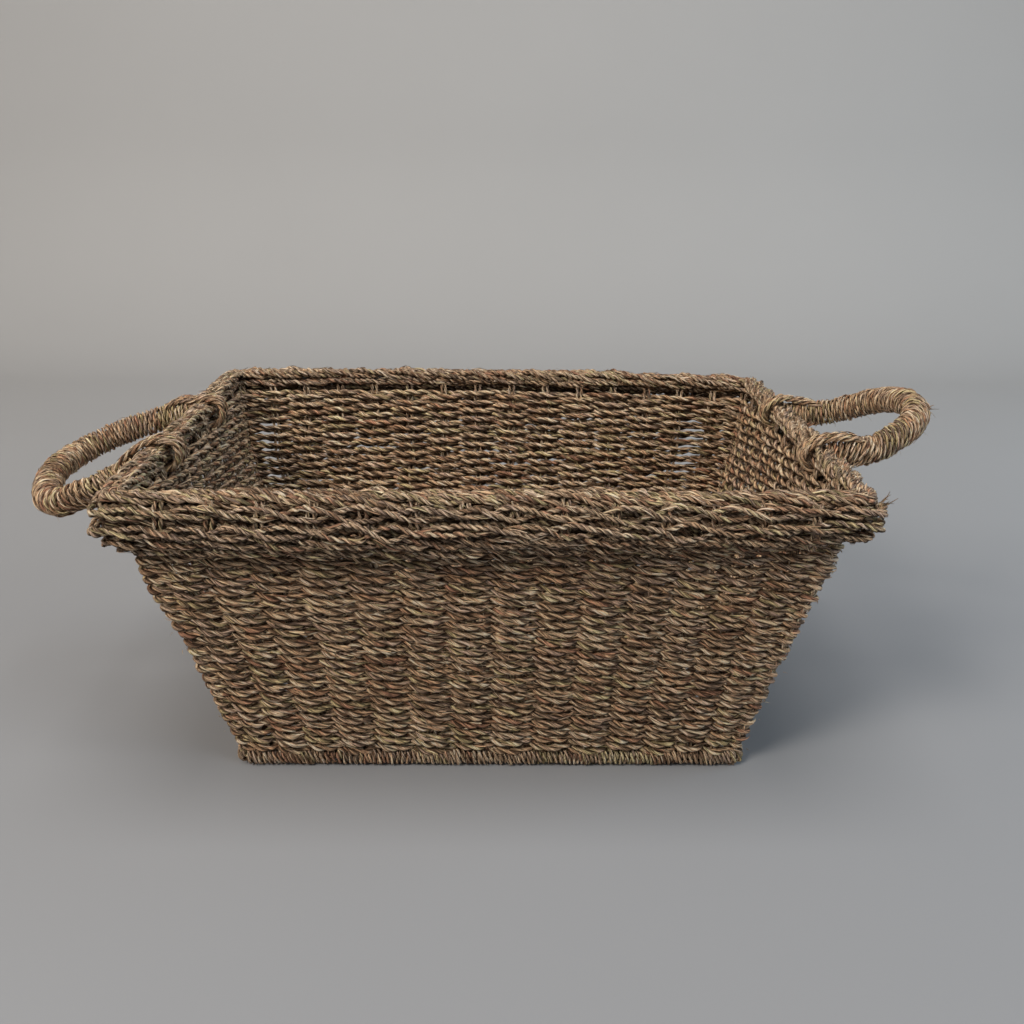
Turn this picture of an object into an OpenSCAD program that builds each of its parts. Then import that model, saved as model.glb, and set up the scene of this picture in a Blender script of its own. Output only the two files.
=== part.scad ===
// Rectangular seagrass storage basket, plain woven over upright stakes, with a
// plaited rim cuff and two wrapped loop handles that swing on the rim roll.
// +X is along the length, +Z is up, and the origin is under the middle of the base.

/* [Basket] */
// Length over the top of the rim, between the handles
rim_length = 400; // [360:10:440]
// Depth over the top of the rim, front to back
rim_depth = 292; // [260:4:320]
// Length of the base
base_length = 300; // [270:10:320]
// Depth of the base, front to back
base_depth = 192; // [170:4:210]
// Height from the floor to the top of the rim
basket_height = 186; // [180:1:200]

/* [Weave] */
// Gaps between stakes along each long wall
long_bays = 15; // [11:2:19]
// Gaps between stakes along each end wall
end_bays = 11; // [9:2:11]
// Diameter of a stake
stake_d = 3; // [2:0.5:3]
// Thickness of a woven cord where it is squeezed in the wall
weft_thickness = 3; // [2.5:0.25:3]
// How far a woven cord swings to each side of the stakes
weft_swing = 3.9; // [3.9:0.1:4.2]
// Full turns of the two woven cords, from the base to the rim
course_count = 27; // [18:1:27]

/* [Rim] */
// Diameter of the top roll, which the handles hang on
roll_d = 11; // [10:0.5:11]
// Diameter of the wire inside the top roll and the base edge
wire_d = 4; // [3:0.5:4]

/* [Handles] */
// Distance from the rim roll's axis to the far bar of the left handle
left_reach = 84; // [74:1:92]
// Distance from the rim roll's axis to the far bar of the right handle
right_reach = 78; // [74:1:92]
// Tilt of the left handle above level, in degrees
left_tilt = -18; // [-28:1:60]
// Tilt of the right handle above level, in degrees
right_tilt = 13; // [-28:1:60]
// Half the distance between the two legs of a handle
leg_spacing = 51; // [46:1:51]
// Diameter of a handle over its wrapping
handle_d = 18; // [16:1:20]
// Diameter of a handle's inner bundle of cords
core_d = 12; // [10:1:14]
// Radius of the bends of a handle, along its middle
handle_bend = 38; // [30:1:38]

/* [Hidden] */
WEFT_NODES = [for (k = [1 : course_count]) str("weft_course_", k < 10 ? "0" : "", k)];

$fn = 32;
fit_gap = 0.1;          // between pieces of one body that bear on each other
row_lap = 0.1;          // between crossing rows that make one piece
hinge_gap = 0.08;       // all round the rim roll, inside a lashing

seagrass = "tan";
pale_seagrass = "wheat";
dark_seagrass = "peru";
wire_grey = "dimgray";

// Walls: half sizes are along the middle of the wall's thickness
wall_half = weft_swing + weft_thickness / 2;
cuff_proud = 4.8;       // the cuff stands this far out of the wall at the top
base_half_x = base_length / 2 - wall_half;
base_half_y = base_depth / 2 - wall_half;
rim_half_x = rim_length / 2 - wall_half - cuff_proud;
rim_half_y = rim_depth / 2 - wall_half - cuff_proud;

// Base edge
edge_r = 5.5;
edge_z = 4.9;           // less than edge_r, so that the edge has a flat underneath
edge_bend = 6.5;
edge_top = edge_z + edge_r;

// Rim roll
roll_r = roll_d / 2;
roll_z = basket_height - roll_r;
roll_half_x = rim_length / 2 - 10;
roll_half_y = rim_depth / 2 - 10;
roll_bend = 8;

// Corner stakes, thinner and set in, so that the cords turn round them freely
corner_slim = 0.4;
corner_inset = 1;

// Weave
weave_bottom = edge_top + 0.6;
weave_top = roll_z - roll_r - 4;
row_height = (weave_top - weave_bottom) / (2 * course_count);

// Rows of the cuff, each [out from the roll's axis, down from it, radius]
PLAIT_TOP = [8.6, 5.2, 4.2];
PLAIT_UPPER = [10.2, 13.0, 3.6];
PLAIT_LOWER = [9.6, 20.0, 3.3];
PLAIT_HEM = [6.2, 25.6, 2.9];

// Turned-down stake ends between the wall and the cuff, each [out, down]
TURN_LOW = [1.2, 23];
TURN_HIGH = [3.6, 8.5];

// Handles
lash_count = 4;
lash_d = 3.6;
lash_width = lash_count * lash_d;
lash_r = roll_r + hinge_gap + lash_d;
arm_inset = 0.5;        // a lashing narrows as it leaves the roll
leg_start = 22;         // the wrapping starts outside the cuff
notch_gap = 1;          // each side of a lashing, where the top plait parts

// Place across the wall, from -1 to 1, of stake k of a wall
function stake_u(k, bays) = 2 * k / bays - 1;
// The stakes crowd towards the corners of the base as they lean in
function fan(u) = 1.2 * u - 0.2 * u * u * u;
function mix(low, high, t) = low + (high - low) * t;
function half_x(z) = mix(base_half_x, rim_half_x, z / basket_height);
function half_y(z) = mix(base_half_y, rim_half_y, z / basket_height);
function along_x(u, z) = mix(base_half_x * fan(u), rim_half_x * u, z / basket_height);
function along_y(u, z) = mix(base_half_y * fan(u), rim_half_y * u, z / basket_height);

// Stakes round the basket as [x, y, out x, out y], anticlockwise from the front left corner
function front_stake(k, z) = [along_x(stake_u(k, long_bays), z), -half_y(z), 0, -1];
function right_stake(k, z) = [half_x(z), along_y(stake_u(k, end_bays), z), 1, 0];
function turned(s) = [-s[0], -s[1], -s[2], -s[3]];
function corner_stake(sx, sy, z) = [sx * half_x(z), sy * half_y(z), sx, sy];
function stake_ring(z) = concat(
    [corner_stake(-1, -1, z)],
    [for (k = [1 : long_bays - 1]) front_stake(k, z)],
    [corner_stake(1, -1, z)],
    [for (k = [1 : end_bays - 1]) right_stake(k, z)],
    [corner_stake(1, 1, z)],
    [for (k = [1 : long_bays - 1]) turned(front_stake(k, z))],
    [corner_stake(-1, 1, z)],
    [for (k = [1 : end_bays - 1]) turned(right_stake(k, z))]
);
function pushed_out(s, d) = [s[0] + d * s[2], s[1] + d * s[3]];

// Straight round rod between two points
module rod(from, to, r) {
    d = to - from;
    translate(from)
        rotate([0, acos(d[2] / norm(d)), atan2(d[1], d[0])])
            cylinder(h = norm(d), r = r);
}

// Rounded rectangle of rod, by its middle line
module rod_ring(hx, hy, r, bend) {
    for (s = [-1, 1]) {
        rod([bend - hx, s * hy, 0], [hx - bend, s * hy, 0], r);
        rod([s * hx, bend - hy, 0], [s * hx, hy - bend, 0], r);
    }
    for (q = [0 : 3]) {
        sx = (q == 0 || q == 3) ? 1 : -1;
        sy = q < 2 ? 1 : -1;
        translate([sx * (hx - bend), sy * (hy - bend), 0])
            rotate([0, 0, 90 * q])
                rotate_extrude(angle = 90)
                    translate([bend, 0])
                        circle(r);
    }
}

// One row of weaving: a band that passes outside and inside the stakes in turn.
// The lower row of a course laps into the upper one, where the two cross.
module weft_row(row) {
    z = weave_bottom + row * row_height;
    ring = stake_ring(z + row_height / 2);
    swing = [for (k = [0 : len(ring) - 1]) ((k + row) % 2 == 0 ? 1 : -1) * weft_swing];
    translate([0, 0, z])
        linear_extrude(height = row_height + (row % 2 == 0 ? row_lap : -fit_gap))
            difference() {
                polygon([for (k = [0 : len(ring) - 1])
                    pushed_out(ring[k], swing[k] + weft_thickness / 2)]);
                polygon([for (k = [0 : len(ring) - 1])
                    pushed_out(ring[k], swing[k] - weft_thickness / 2)]);
            }
}

// One full turn of the pair of woven cords
module weft_course(k) {
    color(k % 2 == 0 ? seagrass : pale_seagrass)
        for (row = [2 * k - 2, 2 * k - 1])
            weft_row(row);
}

module wall_stake(low, high, r) {
    rod(
        [low[0], low[1], edge_top + fit_gap],
        [high[0], high[1], roll_z - roll_r - fit_gap],
        r
    );
}
module stakes_front() {
    color(dark_seagrass)
        for (k = [1 : long_bays - 1])
            wall_stake(
                front_stake(k, edge_top),
                front_stake(k, roll_z - roll_r),
                stake_d / 2
            );
}
module stakes_back() {
    mirror([0, 1, 0]) stakes_front();
}
module stakes_right() {
    color(dark_seagrass)
        for (k = [1 : end_bays - 1])
            wall_stake(
                right_stake(k, edge_top),
                right_stake(k, roll_z - roll_r),
                stake_d / 2
            );
}
module stakes_left() {
    mirror([1, 0, 0]) stakes_right();
}
module stakes_corner() {
    color(dark_seagrass)
        for (sx = [-1, 1], sy = [-1, 1])
            wall_stake(
                pushed_out(corner_stake(sx, sy, edge_top), -corner_inset),
                pushed_out(corner_stake(sx, sy, roll_z - roll_r), -corner_inset),
                stake_d / 2 - corner_slim
            );
}

module base_wire() {
    color(wire_grey)
        translate([0, 0, edge_z])
            rod_ring(base_half_x, base_half_y, wire_d / 2, edge_bend);
}
// Wrapped edge that the basket stands on
module base_edge_binding() {
    color(seagrass)
        difference() {
            translate([0, 0, edge_z])
                rod_ring(base_half_x, base_half_y, edge_r, edge_bend);
            translate([0, 0, edge_z])
                rod_ring(base_half_x, base_half_y, wire_d / 2 + fit_gap, edge_bend);
            translate([-base_length, -base_depth, -edge_r])
                cube([2 * base_length, 2 * base_depth, edge_r]);
        }
}

base_reach_x = base_half_x - edge_r - fit_gap;
base_reach_y = base_half_y - edge_r - fit_gap;
base_row_target = 3 * row_height;   // floor cords are woven three abreast
base_rows = round(2 * base_reach_y / base_row_target);
base_stake_z = wall_half;

// Stakes that cross under the floor from front to back
module base_stakes() {
    color(dark_seagrass)
        for (k = [1 : long_bays - 1]) {
            x = along_x(stake_u(k, long_bays), 0);
            rod([x, -base_reach_y, base_stake_z], [x, base_reach_y, base_stake_z], stake_d / 2);
        }
}
// Floor woven over those stakes
module base_weave() {
    ends = base_reach_x - weft_thickness;
    xs = concat(
        [-ends],
        [for (k = [1 : long_bays - 1]) along_x(stake_u(k, long_bays), 0)],
        [ends]
    );
    last = len(xs) - 1;
    row_depth = 2 * base_reach_y / base_rows;
    color(seagrass)
        for (row = [0 : base_rows - 1]) {
            mid = [for (k = [0 : last]) (k == 0 || k == last) ? 0
                : ((k + row) % 2 == 0 ? weft_swing : -weft_swing)];
            translate([0, base_reach_y - row * row_depth, base_stake_z])
                rotate([90, 0, 0])
                    linear_extrude(height = row_depth + (row < base_rows - 1 ? row_lap : 0))
                        polygon(concat(
                            [for (k = [0 : last]) [xs[k], mid[k] + weft_thickness / 2]],
                            [for (k = [last : -1 : 0]) [xs[k], mid[k] - weft_thickness / 2]]
                        ));
        }
}

module rim_wire() {
    color(wire_grey)
        translate([0, 0, roll_z])
            rod_ring(roll_half_x, roll_half_y, wire_d / 2, roll_bend);
}
module rim_roll() {
    color(pale_seagrass)
        translate([0, 0, roll_z])
            difference() {
                rod_ring(roll_half_x, roll_half_y, roll_r, roll_bend);
                rod_ring(roll_half_x, roll_half_y, wire_d / 2 + fit_gap, roll_bend);
            }
}
module plait_row(row) {
    translate([0, 0, roll_z - row[1]])
        rod_ring(roll_half_x + row[0], roll_half_y + row[0], row[2], roll_bend + row[0]);
}
// The top row of the cuff parts where the handles' lashings come through
module rim_plait_top() {
    notch = 3 * PLAIT_TOP[2];
    color(seagrass)
        difference() {
            plait_row(PLAIT_TOP);
            for (sx = [-1, 1], sy = [-1, 1])
                translate([sx * (roll_half_x + PLAIT_TOP[0]), sy * leg_spacing, roll_z - PLAIT_TOP[1]])
                    cube([notch, lash_width + 2 * notch_gap, notch], center = true);
        }
}
module rim_plait_upper() {
    color(pale_seagrass) plait_row(PLAIT_UPPER);
}
module rim_plait_lower() {
    color(seagrass) plait_row(PLAIT_LOWER);
}
module rim_plait_hem() {
    color(pale_seagrass) plait_row(PLAIT_HEM);
}
module rim_turned_stakes_long() {
    color(dark_seagrass)
        for (s = [-1, 1], k = [1 : long_bays - 1]) {
            x = along_x(stake_u(k, long_bays), roll_z);
            rod(
                [x, s * (roll_half_y + TURN_LOW[0]), roll_z - TURN_LOW[1]],
                [x, s * (roll_half_y + TURN_HIGH[0]), roll_z - TURN_HIGH[1]],
                stake_d / 2
            );
        }
}
module rim_turned_stakes_end() {
    color(dark_seagrass)
        for (s = [-1, 1], k = [1 : end_bays - 1]) {
            y = along_y(stake_u(k, end_bays), roll_z);
            rod(
                [s * (roll_half_x + TURN_LOW[0]), y, roll_z - TURN_LOW[1]],
                [s * (roll_half_x + TURN_HIGH[0]), y, roll_z - TURN_HIGH[1]],
                stake_d / 2
            );
        }
}

// Handle shapes lie level and point along +X from the rim roll's axis
module handle_path(reach, r, from) {
    far_half = leg_spacing - handle_bend;
    rod([reach, -far_half, 0], [reach, far_half, 0], r);
    for (s = [-1, 1]) {
        rod([from, s * leg_spacing, 0], [reach - handle_bend, s * leg_spacing, 0], r);
        translate([reach - handle_bend, s * far_half, 0])
            rotate([0, 0, s > 0 ? 0 : -90])
                rotate_extrude(angle = 90)
                    translate([handle_bend, 0])
                        circle(r);
    }
}
module handle_core(reach) {
    color(dark_seagrass)
        handle_path(reach, core_d / 2, leg_start);
}
module handle_wrap(reach) {
    color(seagrass)
        difference() {
            handle_path(reach, handle_d / 2, leg_start);
            handle_path(reach, core_d / 2 + fit_gap, leg_start - 1);
        }
}
// Band of parallel cords that loops round the rim roll and runs out to a leg
module lashing(y) {
    bore_r = roll_r + hinge_gap;
    color(pale_seagrass)
        translate([0, y, 0])
            rotate([90, 0, 0])
                difference() {
                    union() {
                        cylinder(h = lash_width, r = lash_r, center = true);
                        translate([0, -lash_d / 2, arm_inset - lash_width / 2])
                            cube([leg_start - fit_gap, lash_d, lash_width - 2 * arm_inset]);
                    }
                    cylinder(h = 2 * lash_width, r = bore_r, center = true);
                }
}
module on_right() {
    translate([roll_half_x, 0, roll_z]) rotate([0, -right_tilt, 0]) children();
}
module on_left() {
    mirror([1, 0, 0])
        translate([roll_half_x, 0, roll_z]) rotate([0, -left_tilt, 0]) children();
}
module left_handle_core() {
    on_left() handle_core(left_reach);
}
module left_handle_wrap() {
    on_left() handle_wrap(left_reach);
}
module left_front_lashing() {
    on_left() lashing(-leg_spacing);
}
module left_back_lashing() {
    on_left() lashing(leg_spacing);
}
module right_handle_core() {
    on_right() handle_core(right_reach);
}
module right_handle_wrap() {
    on_right() handle_wrap(right_reach);
}
module right_front_lashing() {
    on_right() lashing(-leg_spacing);
}
module right_back_lashing() {
    on_right() lashing(leg_spacing);
}

base_wire();
base_edge_binding();
base_stakes();
base_weave();
stakes_front();
stakes_back();
stakes_left();
stakes_right();
stakes_corner();
for (k = [1 : course_count])
    weft_course(k);
rim_wire();
rim_roll();
rim_turned_stakes_long();
rim_turned_stakes_end();
rim_plait_top();
rim_plait_upper();
rim_plait_lower();
rim_plait_hem();
left_handle_core();
left_handle_wrap();
left_front_lashing();
left_back_lashing();
right_handle_core();
right_handle_wrap();
right_front_lashing();
right_back_lashing();
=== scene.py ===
"""Looks of a seagrass storage basket: every cord is a real two-ply strand, laid round the CAD frame.

Lengths in this script are in millimetres until a mesh is made. +X runs to the right handle, +Y to
the back wall and +Z up, with the origin under the middle of the base, as in the CAD frame.
"""
import math

import bpy
import mathutils
import numpy as np
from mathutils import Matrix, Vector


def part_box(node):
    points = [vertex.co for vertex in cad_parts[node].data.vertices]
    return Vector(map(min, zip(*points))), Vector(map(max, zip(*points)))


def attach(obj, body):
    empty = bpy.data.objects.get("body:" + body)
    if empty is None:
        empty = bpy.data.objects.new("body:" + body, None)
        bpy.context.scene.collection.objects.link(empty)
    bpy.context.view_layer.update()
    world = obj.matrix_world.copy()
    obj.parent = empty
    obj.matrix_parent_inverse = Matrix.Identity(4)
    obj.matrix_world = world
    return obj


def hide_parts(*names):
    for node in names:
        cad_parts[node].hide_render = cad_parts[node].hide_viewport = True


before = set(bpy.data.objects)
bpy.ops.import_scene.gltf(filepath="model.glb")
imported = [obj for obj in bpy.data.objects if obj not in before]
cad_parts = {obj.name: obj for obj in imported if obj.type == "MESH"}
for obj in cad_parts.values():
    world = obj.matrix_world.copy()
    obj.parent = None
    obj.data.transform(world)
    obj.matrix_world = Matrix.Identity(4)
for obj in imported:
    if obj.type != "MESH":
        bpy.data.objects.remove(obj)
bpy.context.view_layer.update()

MM = 0.001
TAU = 2 * math.pi
rng = np.random.default_rng(358)


# ---------------------------------------------------------------- frame
def mm_box(node):
    low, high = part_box(node)
    return np.array(low) / MM, np.array(high) / MM


LONG_BAYS = 15          # gaps between stakes on a long wall
END_BAYS = 11           # gaps between stakes on an end wall
COURSES = 27            # full turns of the two woven cords
ROWS = 2 * COURSES
WALL_HALF = 5.4         # half the CAD wall's thickness
STAKE_COUNT = 2 * (LONG_BAYS + END_BAYS)

first_low, first_high = mm_box("weft_course_01")
last_high = mm_box("weft_course_%02d" % COURSES)[1]
CAD_ROW = (last_high[2] - first_low[2]) / ROWS
FLARE = (last_high[:2] - first_high[:2]) / (last_high[2] - first_high[2])
BASE_HALF = first_high[:2] - WALL_HALF - FLARE * (first_high[2] - CAD_ROW / 2)

roll_low, roll_high = mm_box("rim_roll")
ROLL_Z = (roll_low[2] + roll_high[2]) / 2
ROLL_R = (roll_high[2] - roll_low[2]) / 2
ROLL_HALF = roll_high[:2] - ROLL_R
RIM_TOP = roll_high[2]
RIM_HALF = BASE_HALF + FLARE * RIM_TOP

edge_low, edge_high = mm_box("base_edge_binding")
EDGE_TOP = edge_high[2]

WEAVE_LOW = EDGE_TOP - 0.5
WEAVE_TOP = last_high[2] + 0.6
ROW = (WEAVE_TOP - WEAVE_LOW) / ROWS

OUT_TILT = math.atan(float(FLARE[0]))

HALF_LONG = 190         # half the rim's length and depth, to the middle of its roll
HALF_DEEP = 146
BACK_FROM = 60          # the rise starts this far behind the middle, and sooner on the left
BACK_SOONER = 50
BACK_RISE = 4.9         # how much higher the back of the rim stands
RIGHT_DROP = 5.4        # and how much of that its right corner loses
END_FROM = 40           # the ends' own shapes start this far from the middle
END_OVER = 100          # and grow over this length
LEFT_OUT = 1.5          # the whole left end stands out by this
# Left and right end walls: how far each bulges along +X, at what height, over what reach
BULGE = ((-5.0, 128, 30), (2.0, 138, 22))


# ---------------------------------------------------------------- meshes
def soft_step(t):
    t = np.clip(t, 0, 1)
    return t * t * (3 - 2 * t)


def settle(points):
    """A used basket isn't square: the back of its rim stands high and its end walls belly out.

    Returns the same array, moved in place.
    """
    x, y, z = points.T.copy()
    left = np.clip(-x / HALF_LONG, 0, 1)
    start = BACK_FROM - BACK_SOONER * left ** 2
    back = soft_step(1.35 * (y - start) / (HALF_DEEP - start))
    rise = BACK_RISE - RIGHT_DROP * np.clip((x + 20) / 210, 0, 1) ** 1.6
    points[:, 2] += rise * back * np.clip(z / RIM_TOP, 0, 1.1) ** 1.5
    for sign, (size, height, reach) in zip((-1, 1), BULGE):
        end = soft_step((sign * x - END_FROM) / END_OVER)
        points[:, 0] += size * end * np.exp(-((z - height) / reach) ** 2)
    points[:, 0] -= LEFT_OUT * soft_step((-x - END_FROM) / END_OVER) * soft_step(z / 30)
    return points


def link_object(name, data):
    made = bpy.data.objects.new(name, data)
    bpy.context.scene.collection.objects.link(made)
    return made


FIRST_CORNER = 0.3      # turns a tube's flat sides off its own axes


def corner_angles(sides):
    """Angles of a tube's corners, as one row."""
    return np.arange(sides)[None, :] * TAU / sides + FIRST_CORNER


class Strands:
    """Tubes and ribbons gathered into one mesh, each with its own colour along its length."""

    def __init__(self):
        self.points, self.quads, self.fibre = [], [], []
        self.hue, self.value, self.deep = [], [], []
        self.count = 0

    def add(self, points, quads, fibre, hue, value, deep):
        self.points.append(points.reshape(-1, 3))
        self.quads.append(quads + self.count)
        self.fibre.append(fibre.reshape(-1, 3))
        self.hue.append(hue.ravel())
        self.value.append(value.ravel())
        self.deep.append(deep.ravel())
        self.count += points.size // 3

    def tube(self, centre, u, v, ru, rv, closed, hue, value, sides=6, spin=0.0, deep=None,
             rough=0.0):
        """A tube round centre, with half thicknesses ru and rv along the directions u and v.

        spin turns the fibres round the tube, deep is 1 where it is darkest with painted shade, and
        rough makes its surface uneven.
        """
        n = len(centre)
        ang = corner_angles(sides)
        shape = (n, sides)
        swell = 1 + rough * rng.normal(size=shape)
        ru = np.broadcast_to(ru, n)[:, None] * swell * np.cos(ang)
        rv = np.broadcast_to(rv, n)[:, None] * swell * np.sin(ang)
        ring = centre[:, None, :] + ru[:, :, None] * u[:, None, :] + rv[:, :, None] * v[:, None, :]
        along = lengths_along(centre)
        around = ang + spin * along[:, None]
        start = rng.uniform(0, 900)
        fibre = np.stack(
            [np.broadcast_to(along[:, None] / 10 + start, shape), np.cos(around), np.sin(around)],
            axis=2,
        )
        if deep is None:
            deep = np.zeros(shape)
        rows = n if closed else n - 1
        i = np.arange(rows)[:, None]
        k = np.arange(sides)[None, :]
        j, m = (i + 1) % n, (k + 1) % sides
        quad = np.stack(
            [i * sides + k, i * sides + m, j * sides + m, j * sides + k], axis=-1
        ).reshape(-1, 4)
        if np.dot(np.cross(u[0], v[0]), centre[1] - centre[0]) < 0:
            quad = quad[:, ::-1]
        self.add(
            ring, quad, fibre,
            np.broadcast_to(np.broadcast_to(hue, n)[:, None], shape),
            np.broadcast_to(np.broadcast_to(value, n)[:, None], shape), deep,
        )

    def ribbons(self, centre, u, v, ru, rv, spacing, length=7, width=0.55, lift=0.35, spin=0.0):
        """Loose blades along a cord: narrow strips that lie on it, with one end a little up.

        spacing is the mean distance between blades, and length is counted in the cord's points.
        """
        n = len(centre)
        if n <= length + 1:
            return
        step = np.linalg.norm(centre[1] - centre[0])
        count = max(1, int(n * step / spacing))
        first = rng.integers(0, n - length, count)[:, None]
        t = np.linspace(0, 1, length)[None, :]
        index = first + np.arange(length)[None, :]
        angle = rng.uniform(0, TAU, (count, 1)) + spin * step * np.arange(length)[None, :]
        end = np.where(rng.uniform(size=(count, 1)) < 0.5, t, 1 - t)
        rise = 1.03 + lift * rng.uniform(0, 1, (count, 1)) ** 2 * 2 * end ** 3
        ru, rv = np.broadcast_to(ru, n)[index], np.broadcast_to(rv, n)[index]
        out_u, out_v = np.cos(angle), np.sin(angle)
        middle = (
            centre[index]
            + (ru * rise * out_u)[..., None] * u[index] + (rv * rise * out_v)[..., None] * v[index]
        )
        across = -out_v[..., None] * u[index] + out_u[..., None] * v[index]
        half = width * rng.uniform(0.5, 1.2, (count, 1)) * np.sqrt(np.sin(math.pi * (0.06 + 0.88 * t)))
        sides = np.stack([middle - across * half[..., None], middle + across * half[..., None]], axis=2)
        k = np.arange(count)[:, None] * length * 2 + np.arange(length - 1)[None, :] * 2
        quad = np.stack([k, k + 1, k + 3, k + 2], axis=-1).reshape(-1, 4)
        shape = (count, length, 2)
        start = rng.uniform(0, 900, (count, 1, 1))
        fibre = np.stack([
            np.broadcast_to(start + t[..., None] * length * step / 10, shape),
            np.broadcast_to(np.array([-0.4, 0.4]), shape),
            np.zeros(shape),
        ], axis=-1)
        hue = np.broadcast_to(rng.uniform(0, 1, (count, 1, 1)), shape)
        value = np.broadcast_to(rng.uniform(0.35, 1.0, (count, 1, 1)), shape)
        self.add(sides, quad, fibre, hue, value, np.zeros(shape))

    def make(self, name, material, body, nodes=()):
        """One mesh object that rides on a body and stands for the given CAD nodes."""
        points = np.concatenate(self.points)
        if body == "basket":
            points = settle(points)
        quads = np.concatenate(self.quads).astype(np.int32)
        mesh = bpy.data.meshes.new(name)
        mesh.vertices.add(len(points))
        mesh.vertices.foreach_set("co", (points * MM).astype(np.float32).ravel())
        mesh.loops.add(quads.size)
        mesh.loops.foreach_set("vertex_index", quads.ravel())
        mesh.polygons.add(len(quads))
        mesh.polygons.foreach_set("loop_start", np.arange(0, quads.size, 4, dtype=np.int32))
        mesh.polygons.foreach_set("use_smooth", np.ones(len(quads), dtype=bool))
        fibre = mesh.attributes.new("fibre", "FLOAT_VECTOR", "POINT")
        fibre.data.foreach_set("vector", np.concatenate(self.fibre).astype(np.float32).ravel())
        for key, values in (("hue", self.hue), ("value", self.value), ("deep", self.deep)):
            layer = mesh.attributes.new(key, "FLOAT", "POINT")
            layer.data.foreach_set("value", np.concatenate(values).astype(np.float32))
        mesh.update(calc_edges=True)
        mesh.materials.append(material)
        piece = link_object(name, mesh)
        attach(piece, body)
        if nodes:
            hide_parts(*nodes)
        return piece


def unit(vectors):
    return vectors / np.linalg.norm(vectors, axis=-1, keepdims=True)


def lengths_along(points):
    step = np.linalg.norm(np.diff(points, axis=0), axis=1)
    return np.concatenate([[0], np.cumsum(step)])


def blades(along, mean_length=38.0):
    """Hue and brightness along a strand, which is spliced from leaves of different colours."""
    total = along[-1] + 1
    count = max(2, int(total / mean_length) + 2)
    joints = np.sort(rng.uniform(0, total, count - 1))
    joints = np.concatenate([[-1], joints, [total + 1]])
    piece = np.clip(np.searchsorted(joints, along) - 1, 0, count - 1)
    hue = rng.uniform(0, 1, count)[piece]
    value = np.clip(rng.normal(0.5, 0.22, count), 0, 1)[piece]
    return hue, value


PLY = 0.53               # a ply's share of the cord's half thickness


def two_ply(strands, centre, u, v, size_u, size_v, closed, lay, sides=6, loose=4.0, hue_run=38.0,
            under=0.0, rough=0.06, dark=0.0):
    """A cord of two plies. size_u and size_v are half the cord's thickness along u and v.

    under paints shade onto the cord's lower side and, a little less, its upper edge, where it is
    packed against the next one, and dark paints shade over all of it.
    """
    n = len(centre)
    along = lengths_along(centre)
    total = along[-1] + (np.linalg.norm(centre[0] - centre[-1]) if closed else 0)
    turns = total / lay
    if closed:
        turns = max(1, round(turns))
    wobble = 0.35 * np.sin(TAU * round(total / 31) * along / total + rng.uniform(0, TAU))
    angle = -TAU * turns * along / total + wobble + rng.uniform(0, TAU)
    size_u, size_v = np.broadcast_to(size_u, n), np.broadcast_to(size_v, n)
    for side in (0, math.pi):
        swell = 1 + 0.06 * np.sin(along / rng.uniform(4, 8) + rng.uniform(0, TAU))
        off_u = (size_u * (1 - PLY) * np.cos(angle + side))[:, None] * u
        off_v = (size_v * (1 - PLY) * np.sin(angle + side))[:, None] * v
        hue, value = blades(along, hue_run)
        ang = corner_angles(sides)
        # Painted shade: each ply is darkened on the side that faces the other ply.
        deep = np.clip(np.cos(ang - (angle + side + math.pi)[:, None]), 0, 1) ** 1.2
        # Painted shade on the lower and upper edges, where the cord is packed against its neighbours.
        if under:
            place = (1 - PLY) * np.sin(angle + side)[:, None] + PLY * np.sin(ang)
            low = np.clip((-0.16 - place) / 0.5, 0, 1)
            high = np.clip((place - 0.74) / 0.26, 0, 1)
            deep = np.maximum(deep, under * np.maximum(low, 0.85 * high))
        # Painted shade over the whole cord, as much as dark asks.
        deep = np.maximum(deep, dark)
        strands.tube(
            centre + off_u + off_v, u, v, size_u * PLY * swell, size_v * PLY * swell,
            closed, hue, value, sides, spin=0.3, deep=deep, rough=rough,
        )
    if loose:
        strands.ribbons(centre, u, v, size_u * 0.98, size_v * 0.98, loose, spin=-TAU / lay * 0.35)


def waves(phase, period, sizes, seeds):
    """Sum of sine waves that close round the basket; sizes are by the number of waves."""
    total = np.zeros_like(phase)
    for (count, size), start in zip(sizes, seeds):
        total += size * np.sin(TAU * count * phase / period + start)
    return total


# ---------------------------------------------------------------- paths round the basket
def fan(u):
    """Stakes crowd towards the corners of the base as they lean in."""
    return 1.2 * u - 0.2 * u ** 3


def stake_places(z):
    """Stakes round the basket at height z, anticlockwise from the front left corner."""
    t = z / RIM_TOP
    half = BASE_HALF + FLARE * z

    def spread(bays, axis):
        u = 2 * np.arange(bays) / bays - 1
        return BASE_HALF[axis] * fan(u) * (1 - t) + RIM_HALF[axis] * u * t

    along_x, along_y = spread(LONG_BAYS, 0), spread(END_BAYS, 1)
    front = np.stack([along_x, np.full(LONG_BAYS, -half[1])], axis=1)
    right = np.stack([np.full(END_BAYS, half[0]), along_y], axis=1)
    return np.concatenate([front, right, -front, -right])


def round_smooth(values, width):
    """Closed Gaussian blur, with the width in samples."""
    reach = int(4 * width) + 1
    kernel = np.exp(-0.5 * (np.arange(-reach, reach + 1) / width) ** 2)
    kernel /= kernel.sum()
    n = len(values)
    index = (np.arange(n)[:, None] + np.arange(-reach, reach + 1)[None, :]) % n
    return np.tensordot(values[index], kernel, axes=([1], [0]))


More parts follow.
